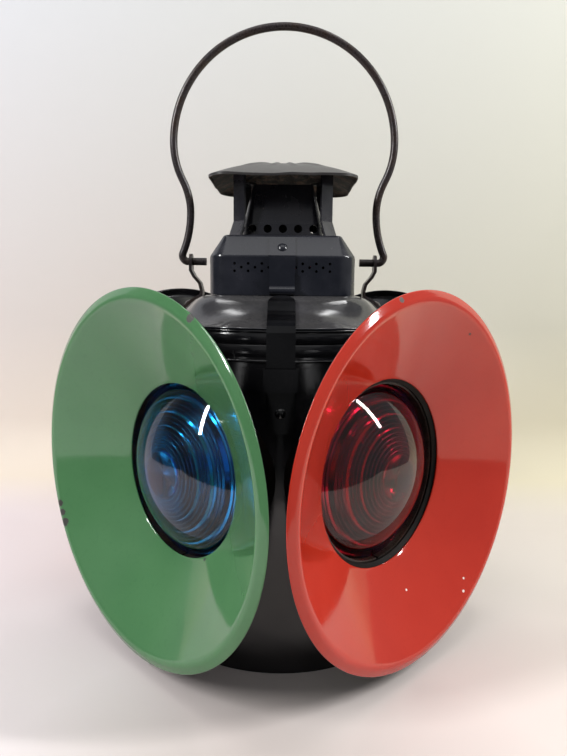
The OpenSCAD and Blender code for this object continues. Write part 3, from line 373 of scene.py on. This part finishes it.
brass = plain_metal("lamp_brass", "#b0883f", "#6f5428", 1.0, 0.25, 0.42)
cast_iron = plain_metal("cast_grey_iron", "#2f2c2b", "#43352a", 0.4, 0.55, 0.8)
cotton = woven_cotton("woven_wick_cotton")
cork = cork_sheet("pressed_cork")

# Chips on the front targets, at their places in the photograph
green_chips = [((-52, -138.4, 246.4), 2.8, "#363430"), ((-174.9, -17.4, 94.1), 2.6, "#2b2a26"),
               ((-172.5, -19.7, 87.5), 2.6, "#2b2a26"), ((-169.8, -22.1, 80.2), 3.4, "#2b2a26"),
               ((-50.4, -93.6, 81.5), 1.2, "#23302a")]
red_chips = [((73.1, -117.8, 257.6), 2.0, "#4a2a22"), ((133.3, -52.7, 233.4), 1.1, "#5a231b"),
             ((139.2, -45.5, 48.4), 0.9, "#e9d9d0"), ((138.3, -50.2, 40.3), 1.1, "#e9d9d0"),
             ((91, -72.9, 51.5), 0.9, "#efe2da")]
ENAMEL = {"green": vitreous_enamel("green_vitreous_enamel", "#47754c", "#4d7b51", "#406c46", green_chips),
          "red": vitreous_enamel("red_vitreous_enamel", "#b02a1a", "#b62f1e", "#a52617", red_chips)}
GLASS = {"green": signal_glass("blue_green_signal_glass", "#1f9aea", "#1678b4"),
         "red": signal_glass("ruby_signal_glass", "#a90f26", "#7c0a1a")}
# the moulded steps are duller than the polished dome
STEPS = {"green": signal_glass("blue_green_moulded_steps", "#2aa0ea", "#1c7fbc", 0.10, 0.22),
         "red": signal_glass("ruby_moulded_steps", "#a01128", "#780e1c", 0.10, 0.22)}

FINISHED_NODES = [
    (black_paint, ["body_shell", "base_plate", "shoulder_skirt", "latch_bracket"]),
    (shoulder_paint_painted_lighter, ["shoulder"]),
    (lid_paint_painted_lighter, ["hinge_base", "lid_drum", "hasp_band", "hasp_rivet", "hinge_leaf"]),
    (chimney_paint_painted_lighter, ["chimney", "roof_straps"]),
    (leaf_paint_painted_darker, ["latch_spring", "latch_rivet"]),
    (roof_paint_painted_lighter, ["roof_cap"]),
    (cast_iron, ["mounting_socket"]),
    (tinplate, ["fount_shelf", "fount"]),
    (sooted_tin, ["inner_flue"]),
    (brass, ["burner", "wick_tube", "wick_raiser", "filler_cap"]),
    (cotton, ["wick"]),
    (cork, ["cap_gasket"]),
    (iron, ["socket_rivets", "ear_left", "ear_right", "ear_rivets", "hinge_pin", "bail"]),
    (barrel_paint, [f"hood_{side}" for side in LENS_SIDES]),
    (ring_iron, [f"lens_ring_{side}" for side in LENS_SIDES]),
    *((ENAMEL[hue], [f"target_{side}"]) for side, hue in SIDE_COLOUR.items()),
    *((GLASS[hue], [f"lens_{side}"]) for side, hue in SIDE_COLOUR.items()),
]
for material, names in FINISHED_NODES:
    for name in names:
        node_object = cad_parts[name]
        if not node_object.data.materials:
            node_object.data.materials.append(None)
        for slot in node_object.material_slots:
            slot.link = "OBJECT"
            slot.material = material


# Targets, lenses, shoulder and roof

def day_target(side):
    """The dish: a cone from the hole out to a rounded crease, and a narrow rim that turns back, all of one
    sheet. The red dish has the wider hole, on the same cone. Its face has the coloured enamel and its back
    the black ground coat."""
    hue = SIDE_COLOUR[side]
    # the green dish's hole and the red one's, and how far out the cone is at the first
    green_hole, red_hole, mouth = 61.1, 65.9, 100.5
    # radius and distance of the crease and of the rim's edge, and the crease's own rounding
    crease, edge, crease_round = (120.4, 136.6), (126.6, 134.15), 3.0
    # the face starts a little outside the hole and in front of it, where the sheet's edge is rounded
    lip_out, lip_forward = 0.75, 0.45
    sheet, face_spacing, turns = 1.5, 2.0, 288
    hole = green_hole if hue == "green" else red_hole
    slope = (crease[1] - mouth) / (crease[0] - green_hole)
    at_hole = mouth + (hole - green_hole) * slope
    line = rounded([[hole + lip_out, at_hole + lip_forward], crease, edge], [0, crease_round, 0])
    face = resample(line, face_spacing)
    section = sheet_section(face, sheet)
    # the ground coat covers the back, most of the rim's rounded edge and a little of the hole's
    column = np.arange(len(section))
    behind = (column > len(face) + 1) & (column < 2 * len(face) + EDGE_POINTS + 2)
    grid = around_lens_axis(section, side, turns)
    obj = closed_surface(f"enamel_target_{side}", grid, ENAMEL[hue], back_enamel, behind)
    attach(obj, "lamp_body")
    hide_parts(f"target_{side}")


def stepped_lens(side):
    """The lens: a smooth dome outside, where z = middle + sqrt(ball^2 - r^2), a flange, and inside a bull's
    eye with five rings of steps. The rings are equally wide, each is cut in three treads with short soft
    risers, as in pressed signal lenses, and their feet lie on a sphere that is a glass thickness smaller
    than the dome's."""
    hue = SIDE_COLOUR[side]
    # the dome's ball, the radius at which it meets the flange, and the flange's radius, front and depth
    ball, dome_edge = 91.0, 62.2
    flange_edge, seat, flange = 63.4, 94.1, 5.4
    # the bull's eye, with a rim below the first step and a shallow cone inside it, and the steps round it
    eye, eye_rim, eye_hollow = 15.0, 1, 3
    rings, treads, ring_height, steps_edge, glass_depth = 5, 3, 2.5, dome_edge - 5, 6
    # the surface starts this far from the lens axis, which leaves no point of zero width there
    axis = 0.02
    # roundings of the steps and of the flange's corners, and the spacing of their points
    soft, fine = 0.4, 0.15
    flange_rounds, flange_step = [0, 0.3, 0.5, 0.8, 0], 0.3
    dome_points, turns = 44, 216
    middle = seat - math.sqrt(ball ** 2 - dome_edge ** 2)
    pitch = (steps_edge - eye) / rings
    starts = eye + pitch * np.arange(rings)
    floor = middle + np.sqrt((ball - glass_depth) ** 2 - np.r_[starts, steps_edge] ** 2)
    cut_in = np.arange(treads) / treads
    r_in = (starts[:, None] + pitch * cut_in).ravel()
    z = (floor[1:, None] + ring_height * (1 - cut_in)).ravel()
    r_out = np.r_[r_in[1:], steps_edge]
    stairs = np.stack([np.stack([r_out, z], -1), np.stack([r_in, z], -1)], 1)[::-1].reshape(-1, 2)
    bulls_eye = [[eye, floor[0] - eye_rim], [axis, floor[0] - eye_hollow]]
    corners = np.concatenate([[[steps_edge, seat - flange]], stairs, bulls_eye])
    inside = rounded(corners, [0] + [soft] * (len(corners) - 2) + [0], fine)
    r = np.linspace(axis, dome_edge - soft, dome_points)
    dome = np.stack([r, middle + np.sqrt(ball ** 2 - r ** 2)], -1)
    front, rear = [flange_edge, seat], [flange_edge, seat - flange]
    rim = rounded([dome[-1], [dome_edge, seat], front, rear, corners[0]], flange_rounds, flange_step)
    section = np.concatenate([dome, rim[1:], inside[1:]])
    moulded = np.arange(len(section)) >= len(dome) + len(rim) - 1
    grid = around_lens_axis(section, side, turns)
    obj = closed_surface(f"signal_lens_{side}", grid, GLASS[hue], STEPS[hue], moulded, crisp_from=40)
    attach(obj, "lamp_body")
    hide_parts(f"lens_{side}")


def domed_shoulder():
    """The shoulder: a rounded square ledge that flows into a round rim. Its profile is an outward arc to
    the steepest slope, then an inward arc to the rim. In each direction the distance d from the middle is
    stretched between the square's edge e and the rim: r = e + (d - ledge) / (rim - ledge) * (rim - e)."""
    rim, top = node_box("shoulder")[1][[0, 2]]
    # half side and corner of the ledge and of the hole in it, and the bevel of the hole's edges
    ledge, ledge_corner = 53.5, 15.0
    hole, hole_corner, bevel = 47.0, 9.0, 0.35
    # the outward arc, its steepest slope, and how far the rim is below the ledge
    crown_radius, steep, drop = 26.0, math.radians(43.8), 20.4
    sheet, crown_points, flare_points, turns = 1.2, 20, 26, 360
    crown = np.array([ledge, top - crown_radius])
    steepest = np.array([math.sin(steep), math.cos(steep)])
    turn = crown + crown_radius * steepest
    chord = np.array([rim, top - drop]) - turn
    flat = 2 * math.atan2(-chord[1], chord[0]) - steep
    flare_radius = np.hypot(*chord) / 2 / math.sin((steep - flat) / 2)
    flare = turn + flare_radius * steepest
    falling = np.linspace(0, steep, crown_points)[:, None]
    levelling = np.linspace(steep, flat, flare_points)[1:, None]
    line = np.concatenate([crown + crown_radius * np.hstack([np.sin(falling), np.cos(falling)]),
                           flare - flare_radius * np.hstack([np.sin(levelling), np.cos(levelling)])])
    section = sheet_section(line, sheet)
    # the section's last half-round edge gives way to a level ring as far as the hole, with bevelled edges
    section = section[:-EDGE_POINTS]
    lip = np.array([[bevel, -sheet], [0.0, -sheet + bevel], [0.0, -bevel], [bevel, 0.0]])
    direction = np.linspace(0, 2 * math.pi, turns, endpoint=False)[:, None]
    edge = square_radius(direction, ledge, ledge_corner)
    share = (section[None, :, 0] - ledge) / (rim - ledge)
    hole_edge = square_radius(direction, hole, hole_corner)
    r = np.hstack([hole_edge + lip[:, 0], edge + share * (rim - edge)])
    z = np.r_[top + lip[:, 1], section[:, 1]]
    grid = np.stack([r * np.cos(direction), r * np.sin(direction), np.broadcast_to(z, r.shape)], -1)
    obj = closed_surface("pressed_shoulder", grid, shoulder_paint_painted_lighter, crisp_from=40)
    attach(obj, "lamp_body")
    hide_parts("shoulder")


def ribbed_roof():
    """The roof: rounded squares whose half side h grows from the crown to the rim, at the height z = rim +
    rise (bowl (1 - (h / half)^2) + pyramid (1 - h / half)), fourteen plain ribs pressed up round the crown,
    a rim that is a little wavy, and a short lip turned down. The underside lies a sheet's thickness lower
    and is sooted."""
    low, high = node_box("roof_cap")
    sheet, lip = 1.0, 1.6
    half, rim_z = high[0], low[2] + lip
    rise = high[2] - rim_z
    # how much of the rise is a paraboloid's, and how much a pyramid's
    bowl, pyramid = 0.93, 0.07
    # corner radius at the rim, from which it shrinks with the square, and its least value on the crown
    corner, least_corner = 15, 6
    # the ring of ribs, and half its width
    ribs, rib_height, rib_middle, rib_reach = 14, 0.8, 24, 11
    # waves of the rim: height, number round the roof, and shift; they die away inwards with this power
    waves, wave_power = [(0.30, 5, 1), (0.22, 9, 2.3), (0.12, 16, 0)], 10
    direction = np.linspace(0, 2 * math.pi, 384, endpoint=False)[:, None]
    # closer together at the rim, where the waves grow fast
    over = np.r_[np.linspace(0.05, 50, 56), np.linspace(50.5, half, 6)]
    under = over[over < half - sheet][::-1]
    h = np.r_[over, half, half - 0.5, half - sheet, under]
    level = rise * (bowl * (1 - (h / half) ** 2) + pyramid * (1 - h / half))
    level[len(over):-len(under)] = 0
    lower = np.r_[0 * over, lip, lip, lip, 0 * under + sheet]
    spokes = rib_height * np.clip(np.cos(ribs * direction), 0, 1) ** 1.5
    pressed = spokes * np.clip(1 - ((h - rib_middle) / rib_reach) ** 4, 0, 1)
    sway = sum(height * np.sin(count * direction + shift) for height, count, shift in waves)
    z = rim_z + level - lower + pressed + sway * (h / half) ** wave_power
    r = square_radius(direction, h, np.clip(corner * h / half, np.minimum(least_corner, h), None))
    grid = np.stack([r * np.cos(direction), r * np.sin(direction), z], -1)
    # the soot starts at the lip
    below = np.arange(len(h)) > len(over)
    obj = closed_surface("ribbed_roof", grid, roof_paint_painted_lighter, soot, below, crisp_from=50)
    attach(obj, "lid")
    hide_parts("roof_cap")


for side in LENS_SIDES:
    day_target(side)
    stepped_lens(side)
domed_shoulder()
ribbed_roof()


# Backdrop, lights and camera

def sweep_backdrop():
    """Pale paper: a flat table in front that curves up into a wall behind the lamp, one smooth profile
    along X. It is warmer low down and to the right. On the table it has a painted shadow: painted greyer
    in a soft patch in front of the lamp, standing in for the lamp's own wide shade."""
    front, bend_from, bend, wall_top, half_width = -0.47, 0.20, 0.10, 1.9, 1.1
    angle = np.radians(np.linspace(-90, 0, 12))[1:]
    curve = np.stack([bend_from + bend * np.cos(angle), bend + bend * np.sin(angle)], -1)
    line = np.concatenate([[[front, 0], [bend_from, 0]], curve, [[bend_from + bend, wall_top]]])
    points = np.concatenate([np.insert(line, 0, x, axis=1) for x in (-half_width, half_width)])
    i, count = np.arange(len(line) - 1), len(line)
    faces = np.stack([i, i + count, i + count + 1, i + 1], -1)
    material, tree, shader, place = new_material("pale_paper")
    across, _, height = add(tree, "SeparateXYZ", {0: place}).node.outputs
    heights = (0.0, 0.03, 0.22, 0.6)
    left, right = ("#e1d7dc", "#dcd1c4", "#cdc6c2", "#cacbd0"), ("#d5cdc1", "#ded6ba", "#bdbbaa", "#ccccbf")
    sides = []
    for hexcodes in (left, right):
        side_tone = add(tree, "ValToRGB", {"Fac": height}, "Color")
        stops = side_tone.node.color_ramp.elements
        while len(stops) < len(heights):
            stops.new(0.5)
        for stop, position, hexcode in zip(stops, heights, hexcodes):
            stop.position, stop.color = position, colour(hexcode)
        sides.append(side_tone)
    rightness = add(tree, "MapRange", {0: across, 1: -0.45, 2: 0.5})
    paper = add(tree, "Mix", {0: rightness, 6: sides[0], 7: sides[1]}, 2, data_type="RGBA")
    # painted shadow: the table is painted greyer (#c3b9b4) in a soft patch round a point 0.22 m in front of
    # the lamp, for the lamp's own shade
    away = add(tree, "VectorMath", {0: place, 1: (0, -0.22, 0)}, "Value", operation="DISTANCE")
    away_from_painted_shadow = add(tree, "MapRange", {0: away, 1: 0.05, 2: 0.17})
    above = add(tree, "MapRange", {0: height, 1: 0.0, 2: 0.01})
    clear_of_painted_shadow = add(tree, "Math", {0: away_from_painted_shadow, 1: above}, operation="MAXIMUM")
    tone = add(tree, "Mix", {0: clear_of_painted_shadow, 6: colour("#c3b9b4"), 7: paper}, 2, data_type="RGBA")
    fill(shader, {"Base Color": tone, "Roughness": 0.9})
    # seen from behind, the wall lets the camera through
    behind = add(tree, "NewGeometry", {}, "Backfacing")
    clear = add(tree, "BsdfTransparent", {})
    seen = add(tree, "MixShader", {0: behind, 1: shader.outputs[0], 2: clear})
    fill(tree.nodes["Material Output"], {"Surface": seen})
    obj = mesh_object("backdrop", points, faces, material)


def area_light(name, high_end, low_end, width, watts, distance=1.5):
    """A flat light that faces the lamp. Its ends are given as azimuth from +X and elevation, in degrees."""
    aim = Vector((0, 0, 0.15))
    ends = []
    for azimuth, elevation in (high_end, low_end):
        a, e = math.radians(azimuth), math.radians(elevation)
        ends.append(Vector((math.cos(a) * math.cos(e), math.sin(a) * math.cos(e), math.sin(e))) * distance)
    middle, along = (ends[0] + ends[1]) / 2, ends[0] - ends[1]
    light = bpy.data.lights.new(name, "AREA")
    light.shape, light.size, light.size_y, light.energy = "RECTANGLE", width, along.length, watts
    out, along = middle.normalized(), along.normalized()
    turn = Matrix((along.cross(out), along, out)).transposed()
    obj = bpy.data.objects.new(name, light)
    obj.matrix_world = Matrix.Translation(aim + middle) @ turn.to_4x4()
    bpy.context.scene.collection.objects.link(obj)


def room():
    """The room round the table: brightest behind the lamp, lighter to the right, and soft light from the
    front at heights above the table's."""
    world = bpy.data.worlds.new("room")
    bpy.context.scene.world = world
    world.use_nodes = True
    tree = world.node_tree
    direction = add(tree, "TexCoord", {}, "Generated")
    x, y, z = add(tree, "SeparateXYZ", {0: direction}).node.outputs
    behind = add(tree, "MapRange", {0: y, 1: 0.0, 2: 0.6, 3: 0.0, 4: 0.66})
    right = add(tree, "MapRange", {0: x, 1: 0.25, 2: 0.75, 3: 0.12, 4: 0.40})
    forward = add(tree, "MapRange", {0: y, 1: -0.35, 2: -0.1, 3: 0.30, 4: 0.0})
    raised = add(tree, "MapRange", {0: z, 1: 0.02, 2: 0.2})
    front = add(tree, "Math", {0: forward, 1: raised}, operation="MULTIPLY")
    level = add(tree, "Math", {0: behind, 1: right}, operation="MAXIMUM")
    level = add(tree, "Math", {0: level, 1: front}, operation="MAXIMUM")
    fill(tree.nodes["Background"], {"Color": colour("#eef0f2"), "Strength": level})


sweep_backdrop()
area_light("left_strip", (209, 45), (217, 22), width=0.075, watts=16)
area_light("right_strip", (-18, 48), (-13, 22), width=0.075, watts=16)
area_light("soft_top", (-90, 85), (-90, 51), width=1.4, watts=5.3, distance=1.6)
area_light("left_tube", (182, 68), (124, 68), width=0.07, watts=2.2)
area_light("right_tube", (-2, 70), (60, 68), width=0.07, watts=2.2)
room()

# The camera stands where the photograph was taken from, found from the four target rims and the body's foot
FOCAL_PIXELS, PHOTO_HEIGHT_PIXELS, SENSOR = 646.31, 756, 36.0
CAMERA_PLACE = (0.00424, -0.51105, 0.26211)
CAMERA_TURN, CAMERA_DIP, CAMERA_ROLL = 0.0057, 0.13326, 0.00946
camera = bpy.data.cameras.new("camera")
camera.sensor_width, camera.lens = SENSOR, FOCAL_PIXELS / PHOTO_HEIGHT_PIXELS * SENSOR
camera.clip_start, camera.clip_end = 0.02, 20
view = bpy.data.objects.new("camera", camera)
turned = Matrix.Rotation(CAMERA_TURN, 4, "Z") @ Matrix.Rotation(math.pi / 2 - CAMERA_DIP, 4, "X")
view.matrix_world = Matrix.Translation(CAMERA_PLACE) @ turned @ Matrix.Rotation(CAMERA_ROLL, 4, "Z")
bpy.context.scene.collection.objects.link(view)
bpy.context.scene.camera = view
bpy.context.scene.view_settings.view_transform = "Standard"
